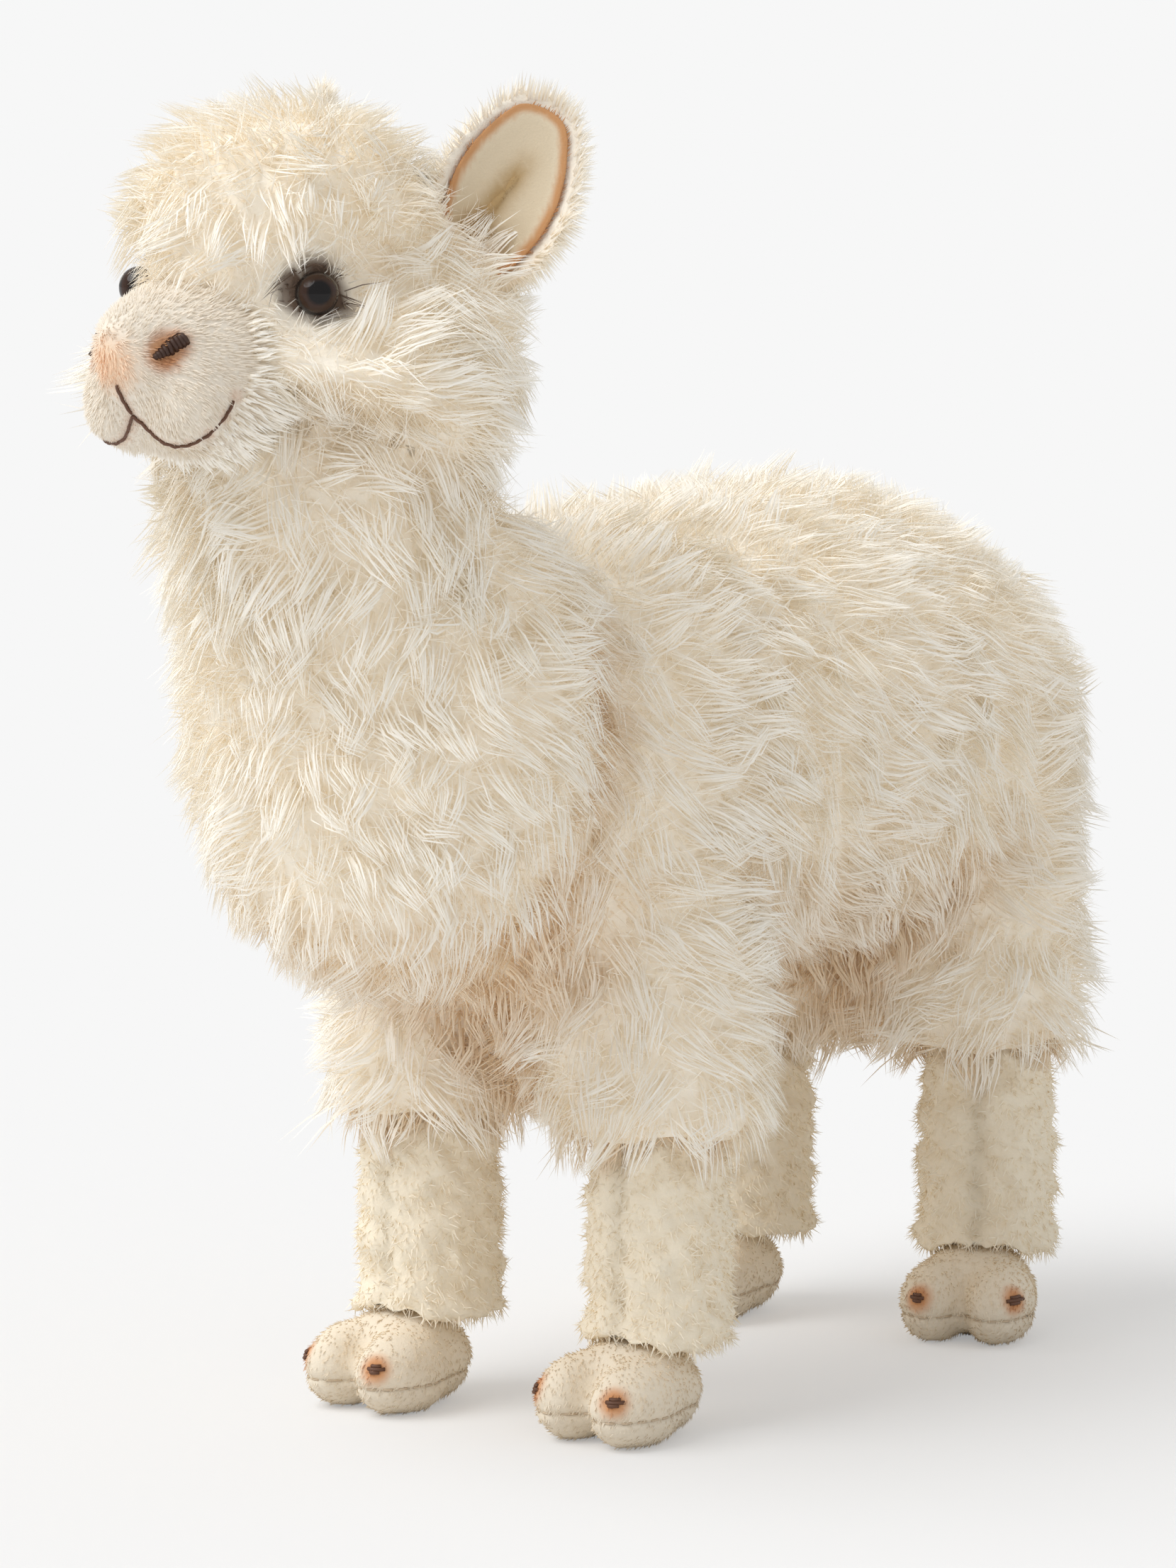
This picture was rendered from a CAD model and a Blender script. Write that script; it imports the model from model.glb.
"""Looks for the alpaca soft toy: long-pile fleece, short plush, velboa feet and a moulded eye."""

import math

import bmesh
import bpy
import numpy as np
from mathutils import Matrix, Vector
from mathutils.bvhtree import BVHTree
from mathutils.kdtree import KDTree


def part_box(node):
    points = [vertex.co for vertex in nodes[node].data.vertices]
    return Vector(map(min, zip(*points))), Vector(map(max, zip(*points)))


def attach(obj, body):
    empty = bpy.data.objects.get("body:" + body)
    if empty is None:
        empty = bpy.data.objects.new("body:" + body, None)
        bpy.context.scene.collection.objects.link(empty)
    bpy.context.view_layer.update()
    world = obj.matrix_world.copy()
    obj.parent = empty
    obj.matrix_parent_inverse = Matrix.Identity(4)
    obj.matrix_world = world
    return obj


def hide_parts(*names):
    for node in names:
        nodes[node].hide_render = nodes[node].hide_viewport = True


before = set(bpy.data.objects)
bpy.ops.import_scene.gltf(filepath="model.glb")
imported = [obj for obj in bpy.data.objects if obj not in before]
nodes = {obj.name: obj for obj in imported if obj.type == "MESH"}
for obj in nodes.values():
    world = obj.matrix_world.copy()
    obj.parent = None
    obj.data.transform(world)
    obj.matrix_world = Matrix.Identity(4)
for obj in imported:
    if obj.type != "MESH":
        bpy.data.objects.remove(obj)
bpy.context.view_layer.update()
scene = bpy.context.scene


# Camera
# A long lens a metre and a half away, to the toy's front left and a little above its head.
# The picture's frame is 1659 by 2212, so the lens length is for the long side.
CAMERA_BEARING = math.radians(35.0)
CAMERA_DISTANCE = 1.5
CAMERA_HEIGHT = 0.3190
TARGET_ASIDE = -0.0082
TARGET_HEIGHT = 0.1463
TARGET_FORWARD = 0.0044
LENS_LENGTH = 145.5

camera_data = bpy.data.cameras.new("studio_camera")
camera_data.sensor_width = 36.0
camera_data.lens = LENS_LENGTH
camera = bpy.data.objects.new("studio_camera", camera_data)
scene.collection.objects.link(camera)
across = math.sin(CAMERA_BEARING)
along = math.cos(CAMERA_BEARING)
camera.location = (across * CAMERA_DISTANCE, TARGET_FORWARD - along * CAMERA_DISTANCE, CAMERA_HEIGHT)
target = Vector((TARGET_ASIDE * along, TARGET_FORWARD + TARGET_ASIDE * across, TARGET_HEIGHT))
camera.rotation_euler = (target - camera.location).to_track_quat("-Z", "Y").to_euler()
scene.camera = camera


# Studio
# A pale sweep of paper under soft light: an even sky, and a broad key from the toy's front and
# right. The paper shows as one flat tone, with the toy's own shadow on it.
BACKDROP = 0.93
SKY_STRENGTH = 0.61
KEY_STRENGTH = 2.05
KEY_SOFTNESS = math.radians(50.0)
KEY_WAY = Vector((-0.55, -0.85, 1.35)).normalized()
PAPER_LIFT = 0.35
PAPER_TONE = BACKDROP / (SKY_STRENGTH + KEY_STRENGTH * KEY_WAY.z / math.pi)

world = bpy.data.worlds.new("studio_sky")
world.use_nodes = True
scene.world = world
sky = world.node_tree
sky.nodes.clear()
sky_out = sky.nodes.new("ShaderNodeOutputWorld")
sky_mix = sky.nodes.new("ShaderNodeMixShader")
sky_seen = sky.nodes.new("ShaderNodeBackground")
sky_seen.inputs["Color"].default_value = (BACKDROP, BACKDROP, BACKDROP, 1.0)
sky_light = sky.nodes.new("ShaderNodeBackground")
sky_light.inputs["Color"].default_value = (1.0, 1.0, 1.0, 1.0)
sky_light.inputs["Strength"].default_value = SKY_STRENGTH
ray = sky.nodes.new("ShaderNodeLightPath")
sky.links.new(ray.outputs["Is Camera Ray"], sky_mix.inputs["Fac"])
sky.links.new(sky_light.outputs["Background"], sky_mix.inputs[1])
sky.links.new(sky_seen.outputs["Background"], sky_mix.inputs[2])
sky.links.new(sky_mix.outputs["Shader"], sky_out.inputs["Surface"])

key_data = bpy.data.lights.new("key", "SUN")
key_data.energy = KEY_STRENGTH
key_data.angle = KEY_SOFTNESS
key = bpy.data.objects.new("key", key_data)
key.rotation_euler = KEY_WAY.to_track_quat("Z", "Y").to_euler()
scene.collection.objects.link(key)

paper = bmesh.new()
bmesh.ops.create_grid(paper, x_segments=1, y_segments=1, size=20.0)
paper_mesh = bpy.data.meshes.new("paper")
paper.to_mesh(paper_mesh)
paper.free()
floor = bpy.data.objects.new("paper", paper_mesh)
scene.collection.objects.link(floor)
paper_finish = bpy.data.materials.new("paper")
paper_finish.use_nodes = True
paper_nodes = paper_finish.node_tree.nodes
paper_shader = paper_nodes["Principled BSDF"]
paper_shader.inputs["Base Color"].default_value = (PAPER_TONE, PAPER_TONE, PAPER_TONE, 1.0)
paper_shader.inputs["Roughness"].default_value = 1.0
paper_shader.inputs["Specular IOR Level"].default_value = 0.0
paper_out = paper_nodes["Material Output"]
paper_mix = paper_nodes.new("ShaderNodeMixShader")
paper_glow = paper_nodes.new("ShaderNodeEmission")
paper_glow.inputs["Color"].default_value = (BACKDROP, BACKDROP, BACKDROP, 1.0)
paper_glow.inputs["Strength"].default_value = 1.0
paper_ray = paper_nodes.new("ShaderNodeLightPath")
paper_share = paper_nodes.new("ShaderNodeMath")
paper_share.operation = "MULTIPLY"
paper_share.inputs[1].default_value = PAPER_LIFT
paper_links = paper_finish.node_tree.links
paper_links.new(paper_ray.outputs["Is Camera Ray"], paper_share.inputs[0])
paper_links.new(paper_share.outputs["Value"], paper_mix.inputs["Fac"])
paper_links.new(paper_shader.outputs["BSDF"], paper_mix.inputs[1])
paper_links.new(paper_glow.outputs["Emission"], paper_mix.inputs[2])
paper_links.new(paper_mix.outputs["Shader"], paper_out.inputs["Surface"])
paper_mesh.materials.append(paper_finish)

scene.view_settings.view_transform = "Standard"
scene.cycles.max_bounces = 16
scene.cycles.diffuse_bounces = 10


# Fleece coat
# The stuffed skins of body, neck, head, topknot and tail: long-pile cloth sewn inside out,
# turned and filled. The cloth lies under the pile, drawn in from the pile's outline, and is
# skinned together with what is let into it, so that no pocket opens at a seam.
COAT_NODES = ("body_fleece", "neck_fleece", "head_fleece", "topknot", "tail")
BODY, NECK, HEAD, TOPKNOT, TAIL = range(5)
EYE_NODES = ("eye_left", "eye_right", "eye_washer_left", "eye_washer_right")
SET_IN = ("muzzle", "ear_left", "ear_right") + EYE_NODES
CLOTH_GRAIN = 0.0040
CLOTH_ROUNDS = 9
PILE_DEPTH = 0.0052
HOLLOW_ROUNDS = 52
HOLLOW_DEPTH = 0.0022
SEAM_STAIN = 0.013
STAIN_TOP = (0.185, 0.215)
FLEECE_ROOT = np.array([0.962, 0.898, 0.785])
FLEECE_TIP = np.array([0.982, 0.960, 0.903])
DYE_TAN = np.array([0.78, 0.57, 0.32])
EYE_BROWN = np.array([0.11, 0.065, 0.042])
SMUDGE_HEIGHT = (0.0056, 0.0078)
SMUDGE_REACH = (0.0092, 0.0115)
SMUDGE_STRETCH = 1.30
dice = np.random.default_rng(11)


def unit(rows):
    """The rows as vectors of length 1."""
    return rows / np.maximum(np.linalg.norm(rows, axis=-1, keepdims=True), 1e-12)


def ease(values, low, high):
    """0 at low and 1 at high, with a soft start and end."""
    share = np.clip((values - low) / (high - low), 0, 1)
    return share * share * (3 - 2 * share)


def centre(name):
    """The middle of a CAD node's box."""
    low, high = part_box(name)
    return (np.array(low) + np.array(high)) / 2


def merged(*names):
    """The CAD nodes' loose triangles, sewn into closed shells."""
    bm = bmesh.new()
    for name in names:
        bm.from_mesh(nodes[name].data)
    bmesh.ops.remove_doubles(bm, verts=bm.verts, dist=1e-6)
    return bm


def smoothed(bm, rounds):
    """Evens the bmesh out, in so many rounds."""
    every_way = {"use_axis_x": True, "use_axis_y": True, "use_axis_z": True}
    for _ in range(rounds):
        bmesh.ops.smooth_vert(bm, verts=bm.verts, factor=0.5, **every_way)
    bm.normal_update()


def modified(bm, kind, **settings):
    """The bmesh after one modifier of that kind."""
    mesh = bpy.data.meshes.new("skin")
    bm.to_mesh(mesh)
    bm.free()
    helper = bpy.data.objects.new("skin", mesh)
    scene.collection.objects.link(helper)
    change = helper.modifiers.new("change", kind)
    for setting, value in settings.items():
        setattr(change, setting, value)
    graph = bpy.context.evaluated_depsgraph_get()
    even = bpy.data.meshes.new_from_object(helper.evaluated_get(graph))
    bpy.data.objects.remove(helper)
    skin = bmesh.new()
    skin.from_mesh(even)
    return skin


def soft_skin(names, grain, rounds):
    """The named nodes' outside as one smooth, closed, even skin."""
    skin = modified(merged(*names), "REMESH", mode="VOXEL", voxel_size=grain)
    smoothed(skin, rounds)
    return skin


def places(bm):
    """The bmesh's points and normals as rows."""
    return np.array([vert.co[:] for vert in bm.verts]), np.array([vert.normal[:] for vert in bm.verts])


def face_places(bm):
    """The middle of each of the bmesh's faces."""
    return np.array([face.calc_center_median()[:] for face in bm.faces])


def closed_part(bm, wanted):
    """The bmesh's wanted faces as a closed form of their own."""
    part = bm.copy()
    part.faces.ensure_lookup_table()
    others = [face for face in part.faces if not wanted[face.index]]
    bmesh.ops.delete(part, geom=others, context="FACES")
    bmesh.ops.holes_fill(part, edges=[edge for edge in part.edges if edge.is_boundary], sides=0)
    bmesh.ops.triangulate(part, faces=[face for face in part.faces if len(face.verts) > 4])
    bmesh.ops.recalc_face_normals(part, faces=part.faces)
    return part


def move(bm, shifts):
    """Shifts each point of the bmesh by its own row."""
    for vert, shift in zip(bm.verts, shifts):
        vert.co += Vector(shift)
    bm.normal_update()


def add_mesh(name, mesh, finish, replaced=(), smooth=True, dye=None):
    """A finished piece on the root body, with its place in its mesh and its dye at each point."""
    if smooth:
        mesh.shade_smooth()
    else:
        mesh.shade_flat()
    mesh.materials.append(finish)
    if dye is not None:
        rows = np.ones((len(dye), 4), np.float32)
        rows[:, :3] = dye
        mesh.attributes.new("dye", "FLOAT_COLOR", "POINT").data.foreach_set("color", rows.reshape(-1))
    piece = bpy.data.objects.new(name, mesh)
    scene.collection.objects.link(piece)
    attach(piece, "root")
    if replaced:
        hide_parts(*replaced)
    return piece


def add_piece(name, bm, finish, replaced=(), smooth=True, dye=None):
    """The same for a bmesh, which it uses up."""
    mesh = bpy.data.meshes.new(name)
    bm.to_mesh(mesh)
    bm.free()
    return add_mesh(name, mesh, finish, replaced, smooth, dye)


def surface_tree(name):
    """A CAD node's surface, to look up the nearest place on it."""
    bm = merged(name)
    tree = BVHTree.FromBMesh(bm)
    bm.free()
    return tree


def cloth(name, roughness, grain_size=0.0, grain_depth=0.0):
    """Pile or woven cloth in the colour of its dye, with a fine tooth."""
    finish = bpy.data.materials.new(name)
    finish.use_nodes = True
    tree = finish.node_tree
    shader = tree.nodes["Principled BSDF"]
    shader.inputs["Roughness"].default_value = roughness
    shader.inputs["Specular IOR Level"].default_value = 0.0
    dye = tree.nodes.new("ShaderNodeAttribute")
    dye.attribute_name = "dye"
    tree.links.new(dye.outputs["Color"], shader.inputs["Base Color"])
    if grain_depth:
        where = tree.nodes.new("ShaderNodeTexCoord")
        noise = tree.nodes.new("ShaderNodeTexNoise")
        noise.inputs["Scale"].default_value = 1.0 / grain_size
        noise.inputs["Detail"].default_value = 4.0
        bump = tree.nodes.new("ShaderNodeBump")
        bump.inputs["Strength"].default_value = 0.6
        bump.inputs["Distance"].default_value = grain_depth
        tree.links.new(where.outputs["Object"], noise.inputs["Vector"])
        tree.links.new(noise.outputs["Fac"], bump.inputs["Height"])
        tree.links.new(bump.outputs["Normal"], shader.inputs["Normal"])
    return finish


pile_finish = cloth("long_pile_fleece", 0.9)
backing_finish = cloth("fleece_backing", 0.95, 0.0012, 0.0006)

part_names = COAT_NODES + SET_IN
coat = soft_skin(part_names, CLOTH_GRAIN, CLOTH_ROUNDS)
node_trees = [surface_tree(name) for name in part_names]
face_reach = []
for face in coat.faces:
    middle = face.calc_center_median()
    face_reach.append([tree.find_nearest(middle)[3] for tree in node_trees])
face_reach = np.array(face_reach)
face_part = face_reach.argmin(axis=1)
face_part[face_part >= part_names.index("eye_left")] = HEAD
cloth_part = np.where(face_part == part_names.index("muzzle"), HEAD, face_part)
seam_gap = face_reach[:, [BODY, NECK]].max(axis=1)
coat_normals = places(coat)[1]
move(coat, -coat_normals * PILE_DEPTH)
smoothed(coat, 2)

levelled = coat.copy()
smoothed(levelled, HOLLOW_ROUNDS)
coat_places, coat_normals = places(coat)
hollow = ((places(levelled)[0] - coat_places) * coat_normals).sum(1) / HOLLOW_DEPTH
levelled.free()
face_hollow = np.array([hollow[[vert.index for vert in face.verts]].mean() for face in coat.faces])
face_down = np.array([-face.normal.z for face in coat.faces])
face_middle = face_places(coat)
face_stain = 0.75 * np.clip(face_hollow, 0, 1) + 0.42 * ease(face_down, 0.25, 0.95)
face_stain += 0.45 * (1 - ease(seam_gap, 0.002, SEAM_STAIN))
face_stain = np.clip(face_stain, 0, 1) * (1 - 0.85 * ease(face_middle[:, 2], *STAIN_TOP))


def turned_axis(name):
    """The tip and the way of a turned piece's axis, towards its wide end."""
    spots = places(merged(name))[0]
    middle = spots.mean(axis=0)
    way = np.linalg.svd(spots - middle, full_matrices=False)[2][0]
    reach = (spots - middle) @ way
    radius = np.linalg.norm(spots - middle - reach[:, None] * way, axis=1)
    if radius[reach > 0].mean() < radius[reach < 0].mean():
        way = -way
    return middle + way * ((spots - middle) @ way).max(), way


EYE_AXES = {hand: turned_axis("eye_" + hand) for hand in ("left", "right")}


def eye_smudge(points):
    """How brown the pile is round the eyes: an almond about each eye's axis."""
    share = np.zeros(len(points))
    for tip, look in EYE_AXES.values():
        gap = points - tip
        flat = gap[:, :2] @ unit(np.array([look[1], -look[0]]))
        almond = np.hypot(flat / SMUDGE_STRETCH, gap[:, 2])
        near = 1 - ease(np.linalg.norm(gap, axis=1), *SMUDGE_REACH)
        share = np.maximum(share, near * (1 - ease(almond, *SMUDGE_HEIGHT)) * 0.95)
    return share


for number, name in enumerate(COAT_NODES):
    part = closed_part(coat, cloth_part == number)
    dye = FLEECE_ROOT + (EYE_BROWN - FLEECE_ROOT) * eye_smudge(places(part)[0])[:, None]
    piece = add_piece(name + "_cloth", part, backing_finish, (name,), False, dye)


# Long pile
# Acrylic pile that stands out of the cloth and lies over, its ends held together in pointed
# locks, above a shorter woolly undercoat. One tapered fibre is modelled, then laid along every
# fibre's own path.
FIBRE_COUNT = 44500
LOCK_TRIALS = 26000
LOCK_SPACING = 0.0060
PILE_SHARES = (1.0, 1.05, 1.30, 1.25, 1.2)
PILE_LENGTH = 0.0142
FIBRE_WIDTH = 0.00048
FIBRE_FLATNESS = 0.5
OUTWARD_LEAN = 0.3
UNDERCOAT_COUNT = 40000
UNDERCOAT_LENGTH = 0.0092
UNDERCOAT_WIDTH = 0.00044
CHEEK_ASIDE = (0.026, 0.042)
CHEEK_TOP = (0.262, 0.285)
BARE_EYE = 0.0036
BARE_EYE_REACH = 0.0120
BODY_MIDDLE = (0.010, 0.085)
LONG = (0.0, 0.48, 1.0)
SHORT = (0.0, 1.0)


def fibre_form(stations):
    """A three-sided pointed fibre from z 0 to 1: its rings, its corners and each point's station."""
    bm = bmesh.new()
    bmesh.ops.create_cone(bm, cap_ends=True, segments=3, radius1=1.0, radius2=0.0, depth=1.0)
    bmesh.ops.translate(bm, verts=bm.verts, vec=(0, 0, 0.5))
    for level in stations[1:-1]:
        everything = bm.verts[:] + bm.edges[:] + bm.faces[:]
        bmesh.ops.bisect_plane(bm, geom=everything, plane_co=(0, 0, level), plane_no=(0, 0, 1))
    bmesh.ops.remove_doubles(bm, verts=bm.verts, dist=1e-5)
    bmesh.ops.triangulate(bm, faces=bm.faces)
    bmesh.ops.recalc_face_normals(bm, faces=bm.faces)
    bm.verts.index_update()
    spots = np.array([vert.co[:] for vert in bm.verts])
    corners = np.array([[vert.index for vert in face.verts] for face in bm.faces])
    bm.free()
    station = np.abs(spots[:, 2:] - np.array(stations)[None]).argmin(axis=1)
    ring = spots[:, :2] / np.maximum(np.linalg.norm(spots[:, :2], axis=1), 1e-9)[:, None]
    ring[station == len(stations) - 1] = 0.0
    return ring, corners, station


forms = {LONG: fibre_form(LONG), SHORT: fibre_form(SHORT)}


def fibres(name, stations, paths, outward, widths, root_dye, tip_dye, finish):
    """One mesh of fibres, flat side out. paths is fibres x stations x 3."""
    ring, corners, at = forms[stations]
    count = len(paths)
    run = np.empty_like(paths)
    run[:, 1:-1] = paths[:, 2:] - paths[:, :-2]
    run[:, 0] = paths[:, 1] - paths[:, 0]
    run[:, -1] = paths[:, -1] - paths[:, -2]
    run = unit(run)
    side = unit(np.cross(run, outward[:, None, :]))
    rise = np.cross(side, run)
    roll = dice.normal(0, 0.28, count)[:, None, None]
    side, rise = side * np.cos(roll) + rise * np.sin(roll), rise * np.cos(roll) - side * np.sin(roll)
    swell = np.interp(np.array(stations), (0.0, 0.3, 0.75, 1.0), (0.85, 1.0, 0.75, 0.0))
    reach = widths[:, None, None] * 0.58 * swell[at][None, :, None]
    spots = paths[:, at] + side[:, at] * ring[None, :, :1] * reach
    spots = spots - rise[:, at] * ring[None, :, 1:] * reach * FIBRE_FLATNESS
    per = len(ring)
    mesh = bpy.data.meshes.new(name)
    mesh.vertices.add(count * per)
    mesh.vertices.foreach_set("co", spots.reshape(-1).astype(np.float32))
    total = count * len(corners)
    mesh.loops.add(total * 3)
    every = corners[None] + (np.arange(count) * per)[:, None, None]
    mesh.loops.foreach_set("vertex_index", every.reshape(-1).astype(np.int32))
    mesh.polygons.add(total)
    mesh.polygons.foreach_set("loop_start", np.arange(0, total * 3, 3, dtype=np.int32))
    mesh.update(calc_edges=True)
    share = ease(np.array(stations)[at], 0.0, 0.85)[None, :, None]
    dye = root_dye[:, None, :] * (1 - share) + tip_dye[:, None, :] * share
    return add_mesh(name, mesh, finish, (), smooth=False, dye=dye.reshape(-1, 3))


def scatter(bm, weights, count):
    """Random points on a bmesh's triangles: places, normals and faces."""
    bm.faces.ensure_lookup_table()
    triangles = bm.calc_loop_triangles()
    spots = np.array([[loop.vert.co[:] for loop in tri] for tri in triangles])
    normals = np.array([[loop.vert.normal[:] for loop in tri] for tri in triangles])
    owner = np.array([tri[0].face.index for tri in triangles])
    area = np.linalg.norm(np.cross(spots[:, 1] - spots[:, 0], spots[:, 2] - spots[:, 0]), axis=1)
    chance = area * weights[owner]
    pick = dice.choice(len(triangles), size=count, p=chance / chance.sum())
    a = dice.random(count)
    b = dice.random(count)
    fold = a + b > 1
    a[fold] = 1 - a[fold]
    b[fold] = 1 - b[fold]
    share = np.stack([1 - a - b, a, b], axis=1)[:, :, None]
    return (spots[pick] * share).sum(1), unit((normals[pick] * share).sum(1)), owner[pick]


def point_tree(points):
    """The points, to look up the nearest one."""
    tree = KDTree(len(points))
    for index, point in enumerate(points):
        tree.insert(point, index)
    tree.balance()
    return tree


def spaced(points, gap):
    """A subset of the points no two of which are nearer than the gap."""
    tree = point_tree(points)
    free = np.ones(len(points), bool)
    kept = []
    for index, point in enumerate(points):
        if free[index]:
            kept.append(index)
            for _, near, _ in tree.find_range(point, gap):
                free[near] = False
    return np.array(kept)


def swirl(points, size, seed):
    """A smooth random value from -1 to 1 over space, with waves about as long as size."""
    rolls = np.random.default_rng(seed)
    total = np.zeros(len(points))
    for _ in range(6):
        wave = unit(rolls.normal(size=3)) * (2 * math.pi / size) * rolls.uniform(0.7, 1.4)
        total += np.sin(points @ wave + rolls.uniform(0, 2 * math.pi))
    return total / 6**0.5 / 1.2


MUZZLE_MIDDLE = centre("muzzle")
TOPKNOT_MIDDLE = centre("topknot")
EYES = [centre("eye_left"), centre("eye_right")]


def coat_dye(points, stain, colour, share):
    """The pile's colour at its roots' places: tan where airbrushed, and brown round the eyes."""
    dye = colour + (DYE_TAN - colour) * (stain * share)[:, None]
    return dye + (EYE_BROWN - dye) * eye_smudge(points)[:, None]


def along_cloth(way, normals, points, turn):
    """The way laid flat on the cloth, and turned aside a little, more here and less there."""
    way = way - normals * (way * normals).sum(1, keepdims=True)
    way = unit(way + 1e-4)
    angle = turn * (0.75 * swirl(points, 0.060, 3) + 0.50 * swirl(points, 0.022, 4))
    side = np.cross(normals, way)
    return unit(way * np.cos(angle)[:, None] + side * np.sin(angle)[:, None])


def comb_way(points, normals, part):
    """Which way the pile lies, along the cloth."""
    way = np.tile(np.array([0.0, 0.45, -1.0]), (len(points), 1))
    way[:, 0] += np.sign(points[:, 0]) * np.clip(np.abs(points[:, 0]) / 0.06, 0, 1) * 0.25
    way[part == NECK] = np.array([0.0, 0.1, -1.0])
    head = part == HEAD
    way[head] = unit(points[head] - MUZZLE_MIDDLE) + np.array([0.0, 0.1, -0.45])
    knot = part == TOPKNOT
    out = unit(points[knot] - TOPKNOT_MIDDLE - np.array([0.0, 0.006, 0.0]))
    way[knot] = out * np.array([1.0, 1.0, 0.4]) + np.array([0.0, -0.15, -0.30])
    way[part == TAIL] = np.array([0.0, 0.2, -1.0])
    return along_cloth(way, normals, points, 1.1)


def cheek(points):
    """1 out on the cheeks, where the pile stands out, and 0 on the rest of the head."""
    aside = ease(np.abs(points[:, 0] - MUZZLE_MIDDLE[0] * 0.5), *CHEEK_ASIDE)
    return aside * (1 - ease(points[:, 2], *CHEEK_TOP))


def pile_length(points, part):
    """How long the pile is, as a share of its full length: clipped round eyes and muzzle."""
    share = np.ones(len(points))
    share[part == HEAD] = 0.84 + 0.26 * cheek(points[part == HEAD])
    share[part == TOPKNOT] = 0.95
    share[part == NECK] = 0.95 + 0.25 * ease(points[part == NECK][:, 2], 0.175, 0.205)
    for eye in EYES:
        gap = np.linalg.norm(points - eye, axis=1)
        share *= 0.30 + 0.70 * ease(gap, 0.006, 0.016)
    gap = np.linalg.norm(points - MUZZLE_MIDDLE, axis=1)
    return share * (0.62 + 0.38 * ease(gap, 0.020, 0.036))


def path(stations, roots, normals, ways, lengths, lean, bend, hook):
    """Each fibre's curve: it rises off the cloth, leans over along its way and hooks aside."""
    steps = 12
    side = np.cross(normals, ways)
    spot = roots.copy()
    rows = [spot.copy()]
    for step in range(steps):
        t = (step + 0.5) / steps
        tilt = lean + bend * t
        turn = hook * t * t
        flat = ways * np.cos(turn)[:, None] + side * np.sin(turn)[:, None]
        heading = normals * np.cos(tilt)[:, None] + flat * np.sin(tilt)[:, None]
        spot = spot + heading * (lengths / steps)[:, None]
        rows.append(spot.copy())
    keep = [int(round(station * steps)) for station in stations]
    return np.array(rows)[keep].transpose(1, 0, 2)


weights = np.array(PILE_SHARES + (0.0,) * len(SET_IN))[face_part]
for tip, look in EYE_AXES.values():
    gap = face_middle - tip
    off_axis = np.linalg.norm(gap - (gap @ look)[:, None] * look, axis=1)
    weights[(off_axis < BARE_EYE) & (np.linalg.norm(gap, axis=1) < BARE_EYE_REACH)] = 0.0
trial, trial_normals, trial_face = scatter(coat, weights, LOCK_TRIALS)
chosen = spaced(trial, LOCK_SPACING)
lock_root = trial[chosen]
lock_normal = trial_normals[chosen]
lock_part = face_part[trial_face[chosen]]
lock_count = len(chosen)
lock_way = comb_way(lock_root, lock_normal, lock_part)
lock_turn = dice.normal(0, 0.42, lock_count)[:, None]
lock_way = lock_way * np.cos(lock_turn) + np.cross(lock_normal, lock_way) * np.sin(lock_turn)
lock_length = PILE_LENGTH * pile_length(lock_root, lock_part) * dice.uniform(0.82, 1.12, lock_count)
lock_lean = dice.uniform(0.50, 1.00, lock_count)
lock_lean = lock_lean - 0.12 * cheek(lock_root) * (lock_part == HEAD)
lock_bend = dice.uniform(0.25, 0.65, lock_count)
lock_hook = dice.normal(0, 0.65, lock_count)
lock_tone = dice.uniform(0.0, 1.0, lock_count)
lock_path = path(LONG, lock_root, lock_normal, lock_way, lock_length, lock_lean, lock_bend, lock_hook)

root, normal, face_index = scatter(coat, weights, FIBRE_COUNT)
part = face_part[face_index]
lock_tree = point_tree(lock_root)
mine = np.array([lock_tree.find(point)[1] for point in root])
count = len(root)
fibre_length = lock_length[mine] * dice.uniform(0.78, 1.06, count)
own_path = path(
    LONG,
    root,
    normal,
    lock_way[mine],
    fibre_length,
    lock_lean[mine] + dice.normal(0, 0.10, count),
    lock_bend[mine] + dice.normal(0, 0.12, count),
    lock_hook[mine] + dice.normal(0, 0.30, count),
)
hold = np.where(dice.random(count) < 0.25, 0.10, dice.uniform(0.45, 0.80, count))
pull = hold[:, None] * np.array(LONG)[None, :] ** 1.1
own_path = own_path + (lock_path[mine] - own_path) * pull[:, :, None]
widths = FIBRE_WIDTH * dice.uniform(0.70, 1.25, count) * np.clip(fibre_length / PILE_LENGTH, 0.5, 1.0)
outward = normal - lock_way[mine] * OUTWARD_LEAN

tone = 0.965 + 0.035 * np.clip(lock_tone[mine] + dice.normal(0, 0.25, count), 0, 1)
root_dye = coat_dye(root, face_stain[face_index], FLEECE_ROOT, 0.80) * tone[:, None]
tip_dye = coat_dye(root, face_stain[face_index], FLEECE_TIP, 0.42) * tone[:, None]

body_third = np.digitize(root[:, 1], BODY_MIDDLE)
groups = {
    "body_pile_front": (part == BODY) & (body_third == 0),
    "body_pile_middle": (part == BODY) & (body_third == 1),
    "body_pile_rear": (part == BODY) & (body_third == 2),
    "neck_pile": part == NECK,
    "head_pile": part == HEAD,
    "topknot_pile": part == TOPKNOT,
    "tail_pile": part == TAIL,
}
for name, these in groups.items():
    fibres(
        name,
        LONG,
        own_path[these],
        outward[these],
        widths[these],
        root_dye[these],
        tip_dye[these],
        pile_finish,
    )


def nap(name, roots, normals, ways, length, lean, width, dye, tip_dye, finish):
    """Short straight fibres, brushed along their ways."""
    count = len(roots)
    still = np.zeros(count)
    lengths = length * dice.uniform(0.75, 1.15, count)
    paths = path(SHORT, roots, normals, ways, lengths, lean + dice.normal(0, 0.15, count), still, still)
    outward = normals - ways * OUTWARD_LEAN
    return fibres(name, SHORT, paths, outward, np.full(count, width), dye, tip_dye, finish)


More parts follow.
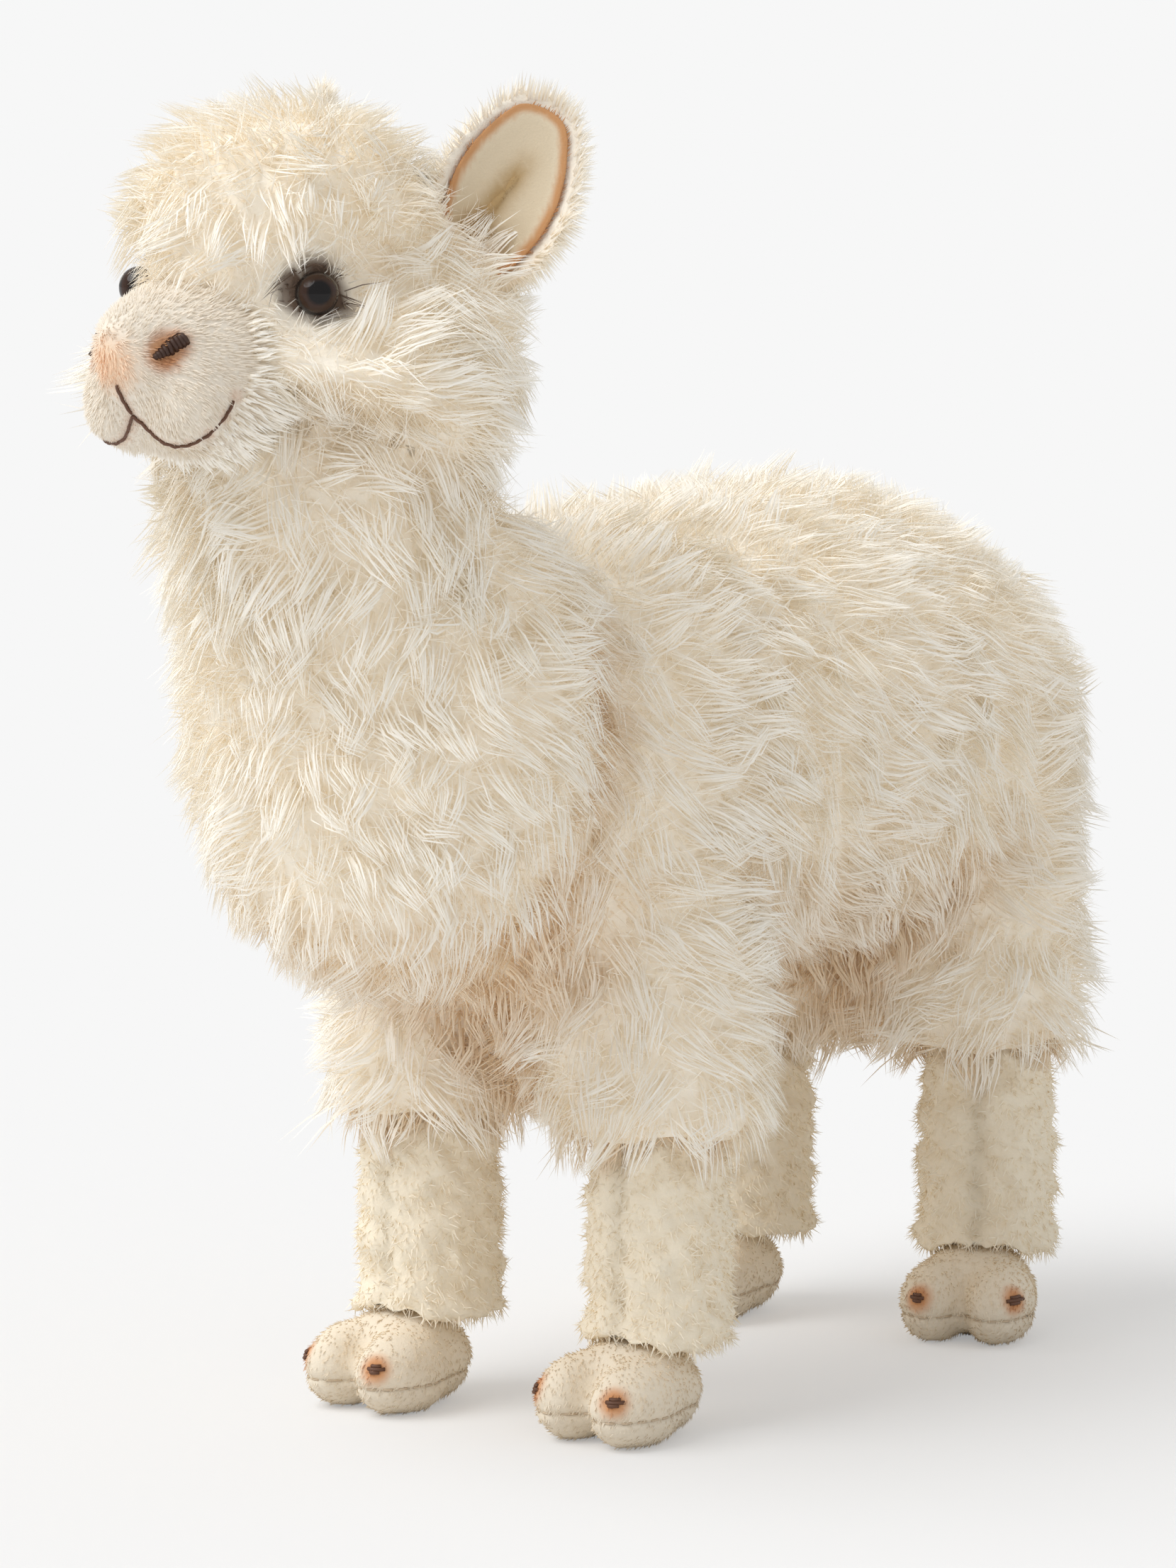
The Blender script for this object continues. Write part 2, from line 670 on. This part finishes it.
root, normal, face_index = scatter(coat, weights, UNDERCOAT_COUNT)
nap(
    "woolly_undercoat",
    root,
    normal,
    unit(np.cross(normal, dice.normal(size=root.shape))),
    UNDERCOAT_LENGTH * pile_length(root, face_part[face_index]),
    0.70,
    UNDERCOAT_WIDTH,
    coat_dye(root, face_stain[face_index], FLEECE_ROOT, 0.80),
    coat_dye(root, face_stain[face_index], FLEECE_TIP, 0.60),
    pile_finish,
)


# Muzzle
# A blunt ball of short plush, turned and stuffed before it is sewn into the face. Its nap is
# brushed back from the nose, nose and nostrils are airbrushed, and longer pile hides its seam.
MUZZLE_GRAIN = 0.0011
NAP_DEPTH = 0.0009
NAP_COUNT = 13000
NAP_LENGTH = 0.0017
NAP_LONGER = 0.0045
NAP_WIDTH = 0.00042
RUFF_COUNT = 4500
RUFF_BAND = (0.0250, 0.041)
RUFF_LENGTH = 0.0100
SHOWING_REACH = 0.040
RAY_START = 0.06
NOSE_SPREAD = (0.0020, 0.0100)
NOSTRIL_SPREAD = (0.0022, 0.0058)
MOUTH_SPREAD = (0.0006, 0.0026)
PLUSH_CREAM = np.array([0.850, 0.785, 0.685])
NOSE_PINK = np.array([0.90, 0.61, 0.39])
HALO_BROWN = np.array([0.58, 0.27, 0.11])
NOSTRILS = [centre("nostril_left"), centre("nostril_right")]
NOSE = (NOSTRILS[0] + NOSTRILS[1]) / 2
ASIDE = unit((NOSTRILS[0] - NOSTRILS[1]) * np.array([1.0, 1.0, 0.0]))
UPWARD = np.array([0.0, 0.0, 1.0])
AHEAD = np.cross(ASIDE, UPWARD)
plush_finish = cloth("short_plush", 0.9, 0.0005, 0.0002)

muzzle = soft_skin(("muzzle",), MUZZLE_GRAIN, 7)
move(muzzle, -places(muzzle)[1] * NAP_DEPTH)
muzzle_tree = BVHTree.FromBMesh(muzzle)


def met(tree, place, way):
    """Where a line from outside, towards the place and against the way, meets the surface."""
    return np.array(tree.ray_cast(Vector(place + way * RAY_START), Vector(-way))[0])


def on_muzzle(turn, rise):
    """The point on the muzzle in a direction from its middle, turned and raised in degrees."""
    turn = math.radians(turn)
    rise = math.radians(rise)
    way = (AHEAD * math.cos(turn) + ASIDE * math.sin(turn)) * math.cos(rise) + UPWARD * math.sin(rise)
    return met(muzzle_tree, MUZZLE_MIDDLE, way)


MOUTH = [(0, -42), (10, -48), (22, -54), (36, -57), (50, -55), (63, -49), (75, -40), (86, -29), (95, -17)]
PHILTRUM = [(0, -12), (0, -20), (0, -28), (0, -36), (0, -42)]
NOSTRIL_SPOTS = []
for side, spot in ((1, NOSTRILS[0]), (-1, NOSTRILS[1])):
    for step in (-0.0024, 0.0, 0.0024):
        NOSTRIL_SPOTS.append(np.array(spot) + (ASIDE * side * 0.85 + UPWARD * 0.55) * step)
mouth_line = [on_muzzle(*knot) for knot in MOUTH]
far_line = [on_muzzle(-turn, rise) for turn, rise in MOUTH]
lip_line = [on_muzzle(*knot) for knot in PHILTRUM]
thread_places = np.array(mouth_line + far_line + lip_line)


def thread_gap(points):
    """How far each point is from the embroidered lines."""
    return np.array([np.linalg.norm(thread_places - point, axis=1).min() for point in points])


def muzzle_dye(points):
    """Cream, pink over the nose, and red-brown round the nostrils and along the mouth."""
    nose_gap = np.linalg.norm(points - on_muzzle(-4, 4), axis=1)
    pink = (0.70 * (1 - ease(nose_gap, *NOSE_SPREAD)))[:, None]
    nostril_gap = np.min([np.linalg.norm(points - spot, axis=1) for spot in NOSTRIL_SPOTS], axis=0)
    halo = 0.90 * (1 - ease(nostril_gap, *NOSTRIL_SPREAD))
    halo = np.maximum(halo, 0.30 * (1 - ease(thread_gap(points), *MOUTH_SPREAD)))[:, None]
    dye = PLUSH_CREAM + (NOSE_PINK - PLUSH_CREAM) * pink
    return dye + (HALO_BROWN - dye) * halo


showing = np.linalg.norm(face_places(muzzle) - NOSE, axis=1) < SHOWING_REACH
root, normal, _ = scatter(muzzle, np.where(showing, 1.0, 0.02), NAP_COUNT)
dye = muzzle_dye(places(muzzle)[0])
piece = add_piece("muzzle_plush", muzzle, plush_finish, ("muzzle",), dye=dye)
from_nose = np.linalg.norm(root - NOSE, axis=1)
nap_length = NAP_LENGTH + NAP_LONGER * ease(from_nose, 0.020, 0.036)
nap_length = nap_length * (0.30 + 0.70 * ease(thread_gap(root), 0.0010, 0.0050))
dye = muzzle_dye(root) * dice.uniform(0.985, 1.03, NAP_COUNT)[:, None]
nap(
    "muzzle_nap",
    root,
    normal,
    along_cloth(root - NOSE, normal, root, 0.35),
    nap_length,
    0.92,
    NAP_WIDTH,
    dye,
    np.minimum(dye * 1.03, 0.95),
    plush_finish,
)

ruff = from_nose + 0.10 * (root - NOSE) @ UPWARD
these = np.flatnonzero((ruff > RUFF_BAND[0]) & (ruff < RUFF_BAND[1]))
these = np.repeat(these, 2)[:RUFF_COUNT]
count = len(these)
ruff_root = root[these] + dice.normal(0, 0.0004, (count, 3))
ruff_way = along_cloth(ruff_root - NOSE, normal[these], ruff_root, 0.6)
ruff_length = RUFF_LENGTH * ease(ruff[these], 0.0235, 0.031) * dice.uniform(0.75, 1.15, count) + 0.001
fibres(
    "muzzle_ruff",
    LONG,
    path(
        LONG,
        ruff_root,
        normal[these],
        ruff_way,
        ruff_length,
        dice.normal(0.45, 0.15, count),
        dice.normal(0.75, 0.15, count),
        0.5 * swirl(ruff_root, 0.010, 8) + dice.normal(0, 0.2, count),
    ),
    normal[these] - ruff_way * OUTWARD_LEAN,
    np.full(count, FIBRE_WIDTH),
    np.tile(FLEECE_ROOT, (count, 1)),
    np.tile(FLEECE_TIP, (count, 1)),
    pile_finish,
)


# Nostrils and mouth
# Embroidery in brown thread: each nostril a wedge of satin stitches, and the mouth and the line
# under the nose a run of back stitches.
THREAD_WIDTH = 0.00075
THREAD_BROWN = (0.125, 0.052, 0.026, 1.0)
NOSTRIL_BROWN = (0.050, 0.020, 0.011, 1.0)
MOUTH_STITCH = 0.0026
LIP_STITCH = 0.0024
SATIN_WIDTH = 0.0012
SATIN_RISE = 0.0011
NOSTRIL_ROWS = 9
NOSTRIL_LENGTH = 0.0070
NOSTRIL_TIP = 0.0003
NOSTRIL_BROAD = 0.0014
NOSTRIL_SLANT = math.radians(32)


def plain(name, colour, roughness):
    """One plain colour all over."""
    finish = bpy.data.materials.new(name)
    finish.use_nodes = True
    shader = finish.node_tree.nodes["Principled BSDF"]
    shader.inputs["Base Color"].default_value = colour
    shader.inputs["Roughness"].default_value = roughness
    return finish


def sewn(lines, width):
    """Threads of that width along the lines of points."""
    curve = bpy.data.curves.new("thread", "CURVE")
    curve.dimensions = "3D"
    curve.bevel_depth = width / 2
    curve.bevel_resolution = 1
    curve.use_fill_caps = True
    for line in lines:
        spline = curve.splines.new("POLY")
        spline.points.add(len(line) - 1)
        for knot, place in zip(spline.points, line):
            knot.co = (*place, 1.0)
    helper = bpy.data.objects.new("thread", curve)
    scene.collection.objects.link(helper)
    graph = bpy.context.evaluated_depsgraph_get()
    mesh = bpy.data.meshes.new_from_object(helper.evaluated_get(graph))
    bpy.data.objects.remove(helper)
    bm = bmesh.new()
    bm.from_mesh(mesh)
    bmesh.ops.remove_doubles(bm, verts=bm.verts, dist=1e-6)
    bmesh.ops.recalc_face_normals(bm, faces=bm.faces)
    return bm


def stitches(line, length):
    """A line of points cut into back stitches, each of which dips into the cloth at its ends."""
    line = np.array(line)
    reach = np.concatenate([[0.0], np.cumsum(np.linalg.norm(np.diff(line, axis=0), axis=1))])
    runs = []
    for number in range(int(reach[-1] / length)):
        marks = (number + np.array([-0.15, 0.2, 0.5, 0.8, 1.15])) * length
        run = np.stack([np.interp(marks, reach, line[:, axis]) for axis in range(3)], axis=1)
        out = unit(run - MUZZLE_MIDDLE)
        runs.append(run + out * np.array([0.0002, 0.0004, 0.0005, 0.0004, 0.0002])[:, None])
    return runs


thread_finish = plain("embroidery_thread", THREAD_BROWN, 0.55)
nostril_finish = plain("nostril_thread", NOSTRIL_BROWN, 0.6)
mouth = sewn(stitches(mouth_line, MOUTH_STITCH) + stitches(far_line, MOUTH_STITCH), THREAD_WIDTH)
add_piece("mouth_embroidery", mouth, thread_finish, ("mouth_stitch",))
lip = sewn(stitches(lip_line, LIP_STITCH), THREAD_WIDTH)
add_piece("lip_embroidery", lip, thread_finish, ("lip_stitch",))
slant_along = math.cos(NOSTRIL_SLANT)
slant_up = math.sin(NOSTRIL_SLANT)
for hand, side, spot in (("left", 1, NOSTRILS[0]), ("right", -1, NOSTRILS[1])):
    out = np.array(muzzle_tree.find_nearest(Vector(spot))[1])
    lie = unit(np.cross(UPWARD, out)) * side
    rise = np.cross(out, lie) * side
    lie, rise = lie * slant_along + rise * slant_up, rise * slant_along - lie * slant_up
    rows = []
    for row in range(NOSTRIL_ROWS):
        share = row / (NOSTRIL_ROWS - 1)
        half = NOSTRIL_TIP + NOSTRIL_BROAD * share**0.8 * (1 - 0.35 * share**6)
        middle = spot + lie * (share - 0.5) * NOSTRIL_LENGTH
        row_line = []
        for step in (-1.0, -0.5, 0.0, 0.5, 1.0):
            place = np.array(muzzle_tree.find_nearest(Vector(middle + rise * half * step))[0])
            row_line.append(place + out * (SATIN_RISE * (1 - step * step) - 0.0001))
        rows.append(row_line)
    nostril = sewn(rows, SATIN_WIDTH)
    add_piece("nostril_embroidery_" + hand, nostril, nostril_finish, ("nostril_" + hand,))


# Eyes
# A moulded eye with a brown iris and a black pupil under a clear dome. Its shank goes through
# the cloth, and a washer locks it inside.
EYE_RADIUS = 0.0047
EYE_STEPS = 40
DOME_STEPS = 16
DOME_HEIGHT = 0.0046
DOME_SEAT = 0.0042
RIM_DEPTH = 0.0012
SHANK_RADIUS = 0.0016
PUPIL_BLACK = np.array([0.006, 0.005, 0.005])
IRIS_BROWN = np.array([0.040, 0.019, 0.012])
eye_finish = cloth("eye_plastic", 0.12)
eye_shader = eye_finish.node_tree.nodes["Principled BSDF"]
eye_shader.inputs["Specular IOR Level"].default_value = 0.10
eye_shader.inputs["Coat Weight"].default_value = 0.35
eye_shader.inputs["Coat Roughness"].default_value = 0.03
washer_finish = plain("washer_plastic", (0.75, 0.74, 0.70, 1.0), 0.4)

for hand in ("left", "right"):
    spots = places(merged("eye_" + hand))[0]
    apex, look = EYE_AXES[hand]
    seat = apex - look * DOME_SEAT
    foot = ((spots - seat) @ look).min()
    dome = []
    for step in range(DOME_STEPS + 1):
        angle = math.pi / 2 * step / DOME_STEPS
        dome.append((EYE_RADIUS * math.sin(angle), DOME_HEIGHT * math.cos(angle)))
    rim = [(EYE_RADIUS, -RIM_DEPTH), (SHANK_RADIUS, -RIM_DEPTH)]
    profile = dome + rim + [(SHANK_RADIUS, foot), (0.0, foot)]
    bm = bmesh.new()
    verts = [bm.verts.new((radius, 0.0, height)) for radius, height in profile]
    edges = [bm.edges.new(pair) for pair in zip(verts, verts[1:])]
    bmesh.ops.spin(
        bm,
        geom=verts + edges,
        cent=(0, 0, 0),
        axis=(0, 0, 1),
        angle=2 * math.pi,
        steps=EYE_STEPS,
        use_merge=True,
    )
    bmesh.ops.remove_doubles(bm, verts=bm.verts, dist=1e-6)
    bmesh.ops.recalc_face_normals(bm, faces=bm.faces)
    radii = np.hypot(places(bm)[0][:, 0], places(bm)[0][:, 1]) / EYE_RADIUS
    iris = (ease(radii, 0.50, 0.62) * (1 - ease(radii, 0.84, 0.97)))[:, None]
    dye = PUPIL_BLACK + (IRIS_BROWN - PUPIL_BLACK) * iris
    facing = Vector(look).to_track_quat("Z", "Y").to_matrix().to_4x4()
    bmesh.ops.transform(bm, verts=bm.verts, matrix=Matrix.Translation(Vector(seat)) @ facing)
    add_piece("eye_dome_" + hand, bm, eye_finish, ("eye_" + hand,), dye=dye)
    washer = nodes["eye_washer_" + hand]
    washer.material_slots[0].material = washer_finish


# Ears
# Leaf-shaped, of fleece behind and short plush in front, with the lining folded in at its root
# and a brown line airbrushed along its edge.
EAR_GRAIN = 0.0013
EAR_PILE = 0.0052
EAR_PILE_COUNT = 4500
EAR_PILE_WIDTH = 0.00055
EAR_CLOTH_DEPTH = 0.0006
LINING_MARGIN = 0.0016
LINING_COUNT = 3000
LINING_PILE = 0.0016
LINING_HALF_WIDTH = 0.011
LINING_HALF_HEIGHT = 0.020
FOLD_RISE = 0.0056
FOLD_DROP = 0.0030
EDGE_BROWN = np.array([0.54, 0.24, 0.08])
FOLD_TAN = np.array([0.42, 0.28, 0.13])
LINING_CREAM = np.array([0.75, 0.65, 0.49])

for hand in ("left", "right"):
    lining = modified(merged("ear_lining_" + hand), "SUBSURF", levels=2)
    lining.normal_update()
    spots, normals = places(lining)
    middle = spots.mean(axis=0)
    up, wide, thin = np.linalg.svd(spots - middle, full_matrices=False)[2]
    up = up * np.sign(up[2])
    thin = thin * np.sign(thin @ (middle - centre("ear_" + hand)))
    wide = wide * np.sign(wide[0]) * (-1 if hand == "left" else 1)
    x = (spots - middle) @ wide / LINING_HALF_WIDTH
    z = (spots - middle) @ up / LINING_HALF_HEIGHT
    x_fold = 0.15 - 0.40 * z
    low = 1 - ease(z, 0.05, 0.65)
    ridge = np.exp(-(((x - x_fold - 0.26) / 0.22) ** 2))
    valley = np.exp(-(((x - x_fold + 0.12) / 0.24) ** 2))
    front = ease(normals @ thin, 0.0, 0.5)
    rim = spots[np.abs(normals @ thin) < 0.45]
    rim_tree = point_tree(rim)
    gap = np.array([rim_tree.find(spot)[2] for spot in spots])
    inner = ease(gap, 0.0010, 0.0040)
    fold = front * low * inner * (FOLD_RISE * ridge - FOLD_DROP * valley)
    move(lining, thin[None, :] * fold[:, None])
    spots, normals = places(lining)
    edge = (1 - ease(gap, 0.0010, 0.0026))[:, None]
    shade = np.clip(0.95 * valley * low + 0.45 * (1 - ease(z, -1.0, -0.1)) + 0.18, 0, 0.95)
    dye = LINING_CREAM + (FOLD_TAN - LINING_CREAM) * (shade * inner)[:, None]
    dye = dye + (EDGE_BROWN - dye) * edge * 0.85
    dye_tree = point_tree(spots)
    facing_out = [1.0 if face.normal @ Vector(thin) > 0 else 0.0 for face in lining.faces]
    root, normal, _ = scatter(lining, np.array(facing_out), LINING_COUNT)
    add_piece("ear_plush_" + hand, lining, plush_finish, ("ear_lining_" + hand,), dye=dye)
    root_dye = dye[[dye_tree.find(point)[1] for point in root]]
    nap(
        "ear_nap_" + hand,
        root,
        normal,
        along_cloth(np.tile(up, (LINING_COUNT, 1)), normal, root, 0.3),
        LINING_PILE,
        0.95,
        NAP_WIDTH,
        root_dye,
        np.minimum(root_dye * 1.03, 0.95),
        plush_finish,
    )

    back = soft_skin(("ear_" + hand,), EAR_GRAIN, 4)
    move(back, -places(back)[1] * EAR_CLOTH_DEPTH)
    lining_tree = surface_tree("ear_lining_" + hand)
    lining_gap = np.array([lining_tree.find_nearest(spot)[3] for spot in face_places(back)])
    root, normal, _ = scatter(back, np.where(lining_gap > LINING_MARGIN, 1.0, 0.0), EAR_PILE_COUNT)
    dye = np.tile(FLEECE_ROOT, (len(back.verts), 1))
    add_piece("ear_fleece_" + hand, back, backing_finish, ("ear_" + hand,), dye=dye)
    away = root - middle
    away = away - thin * (away @ thin)[:, None]
    nap(
        "ear_pile_" + hand,
        root,
        normal,
        along_cloth(unit(away) + up * 0.5 - thin * 0.2, normal, root, 0.5),
        EAR_PILE,
        0.80,
        EAR_PILE_WIDTH,
        np.tile(FLEECE_ROOT, (EAR_PILE_COUNT, 1)),
        np.tile(FLEECE_TIP, (EAR_PILE_COUNT, 1)),
        pile_finish,
    )


# Legs
# A sleeve of woolly short pile over each lower leg, with a seam down its front and a turned cuff
# over the foot. Each foot is two-toed, in smooth velboa, with a brown nail stitched on each toe.
SLEEVE_GRAIN = 0.0017
SLEEVE_PILE = 0.0028
SLEEVE_COUNT = 3600
SLEEVE_PILE_WIDTH = 0.00050
SLEEVE_DEPTH = 0.0012
CREASE_WIDTH = 0.0026
CREASE_DEPTH = 0.0013
CREASE_FRONT = (0.004, 0.012)
SLEEVE_ROOT = np.array([0.90, 0.815, 0.660])
SLEEVE_TIP = np.array([0.925, 0.875, 0.770])
FOOT_GRAIN = 0.0013
FOOT_NAP_COUNT = 2600
FOOT_NAP_LENGTH = 0.0013
FOOT_NAP_WIDTH = 0.00045
FOOT_CREAM = np.array([0.840, 0.750, 0.610])
VELBOA_DEPTH = 0.0004
SEAM_HEIGHT = 0.0075
SEAM_BAND = 0.0009
SEAM_TUCK = 0.0007
NAIL_HEIGHT = 0.0125
NAIL_ASIDE = 0.0120
NAIL_LENGTH = 0.0034
NAIL_STITCHES = ((-0.0007, 0.55), (0.0, 1.0), (0.0007, 0.55))
NAIL_THREAD = 0.0010
NAIL_PROUD = 0.0006
NAIL_SPREAD = (0.0016, 0.0052)
SEAM_STITCHES = 34
SEAM_THREAD = 0.0005
NAIL_ORANGE = np.array([0.62, 0.27, 0.10])
velboa_finish = cloth("velboa", 0.85, 0.0006, 0.00025)
seam_finish = plain("seam_thread", (0.62, 0.50, 0.36, 1.0), 0.8)


def sleeve_crease(points, middle, aside, ahead):
    """1 along the seam down the sleeve's front, and 0 away from it."""
    offset = (points - middle) @ aside
    return np.exp(-((offset / CREASE_WIDTH) ** 2)) * ease((points - middle) @ ahead, *CREASE_FRONT)


def foot_dye(points, nails):
    """Cream, a little darker low down, with an orange halo round each nail."""
    nail_gap = np.min([np.linalg.norm(points - nail, axis=1) for nail in nails], axis=0)
    halo = (0.90 * (1 - ease(nail_gap, *NAIL_SPREAD)))[:, None]
    dye = FOOT_CREAM * (0.92 + 0.08 * ease(points[:, 2], 0.004, 0.016))[:, None]
    return dye + (NAIL_ORANGE - dye) * halo


for leg in ("front_left", "front_right", "rear_left", "rear_right"):
    sleeve_name = "lower_leg_" + leg
    foot_name = "foot_" + leg
    sole_name = "sole_" + leg
    middle = centre(sleeve_name)
    ahead = unit((centre(foot_name) - middle) * np.array([1.0, 1.0, 0.0]))
    aside = np.cross(ahead, UPWARD)
    sleeve = soft_skin((sleeve_name,), SLEEVE_GRAIN, 5)
    spots, normals = places(sleeve)
    crease = sleeve_crease(spots, middle, aside, ahead)
    lumps = 0.0008 * swirl(spots, 0.009, 21) + 0.0005 * swirl(spots, 0.0045, 22)
    shift = lumps - SLEEVE_DEPTH - CREASE_DEPTH * crease
    move(sleeve, normals * shift[:, None])
    crease_shade = 0.90 + 0.10 * (1 - crease)
    dye = np.tile(SLEEVE_ROOT, (len(spots), 1)) * crease_shade[:, None]
    root, normal, _ = scatter(sleeve, np.ones(len(sleeve.faces)), SLEEVE_COUNT)
    piece = add_piece("sleeve_" + leg, sleeve, backing_finish, (sleeve_name,), dye=dye)
    fade = (1 - 0.12 * sleeve_crease(root, middle, aside, ahead))[:, None]
    nap(
        "sleeve_nap_" + leg,
        root,
        normal,
        unit(np.cross(normal, dice.normal(size=root.shape)) + np.array([0.0, 0.0, -0.8])),
        SLEEVE_PILE,
        0.80,
        SLEEVE_PILE_WIDTH,
        SLEEVE_ROOT * fade,
        SLEEVE_TIP * fade,
        pile_finish,
    )

    shoe = soft_skin((foot_name, sole_name), FOOT_GRAIN, 5)
    spots, normals = places(shoe)
    tuck = np.exp(-(((spots[:, 2] - SEAM_HEIGHT) / SEAM_BAND) ** 2))
    move(shoe, -normals * (VELBOA_DEPTH + SEAM_TUCK * tuck)[:, None])
    shoe_tree = BVHTree.FromBMesh(shoe)
    foot_middle = centre(foot_name) * np.array([1.0, 1.0, 0.0])
    nails = []
    nail_lines = []
    for side in (-1, 1):
        nail = foot_middle + aside * side * NAIL_ASIDE
        nails.append(met(shoe_tree, nail + UPWARD * NAIL_HEIGHT, ahead))
        for drop, share in NAIL_STITCHES:
            line = []
            for step in (-0.5, -0.25, 0.0, 0.25, 0.5):
                spot = nail + aside * step * share * NAIL_LENGTH + UPWARD * (NAIL_HEIGHT - drop)
                line.append(met(shoe_tree, spot, ahead) + ahead * NAIL_PROUD * (1 - 2 * abs(step)))
            nail_lines.append(line)
    add_piece("nails_" + leg, sewn(nail_lines, NAIL_THREAD), thread_finish, ())

    root, normal, _ = scatter(shoe, np.ones(len(shoe.faces)), FOOT_NAP_COUNT)
    dye = foot_dye(root, nails)
    nap(
        "foot_nap_" + leg,
        root,
        normal,
        along_cloth(np.tile(ahead - UPWARD * 0.6, (FOOT_NAP_COUNT, 1)), normal, root, 0.5),
        FOOT_NAP_LENGTH,
        1.0,
        FOOT_NAP_WIDTH,
        dye,
        np.minimum(dye * 1.04, 0.95),
        velboa_finish,
    )
    upper = face_places(shoe)[:, 2] > SEAM_HEIGHT
    for half, name, node in ((upper, "foot_velboa_", foot_name), (~upper, "sole_velboa_", sole_name)):
        panel = closed_part(shoe, half)
        dye = foot_dye(places(panel)[0], nails)
        piece = add_piece(name + leg, panel, velboa_finish, (node,), dye=dye)

    seam_foot = foot_middle + UPWARD * SEAM_HEIGHT
    seam_lines = []
    for number in range(SEAM_STITCHES):
        line = []
        for part_turn in (-0.3, 0.0, 0.3):
            angle = (number + part_turn) / SEAM_STITCHES * 2 * math.pi
            way = ahead * math.cos(angle) + aside * math.sin(angle)
            line.append(met(shoe_tree, seam_foot, way) + way * 0.0001)
        if np.linalg.norm(line[0] - line[2]) < 0.005:
            seam_lines.append(line)
    add_piece("seam_stitches_" + leg, sewn(seam_lines, SEAM_THREAD), seam_finish, ())
    shoe.free()
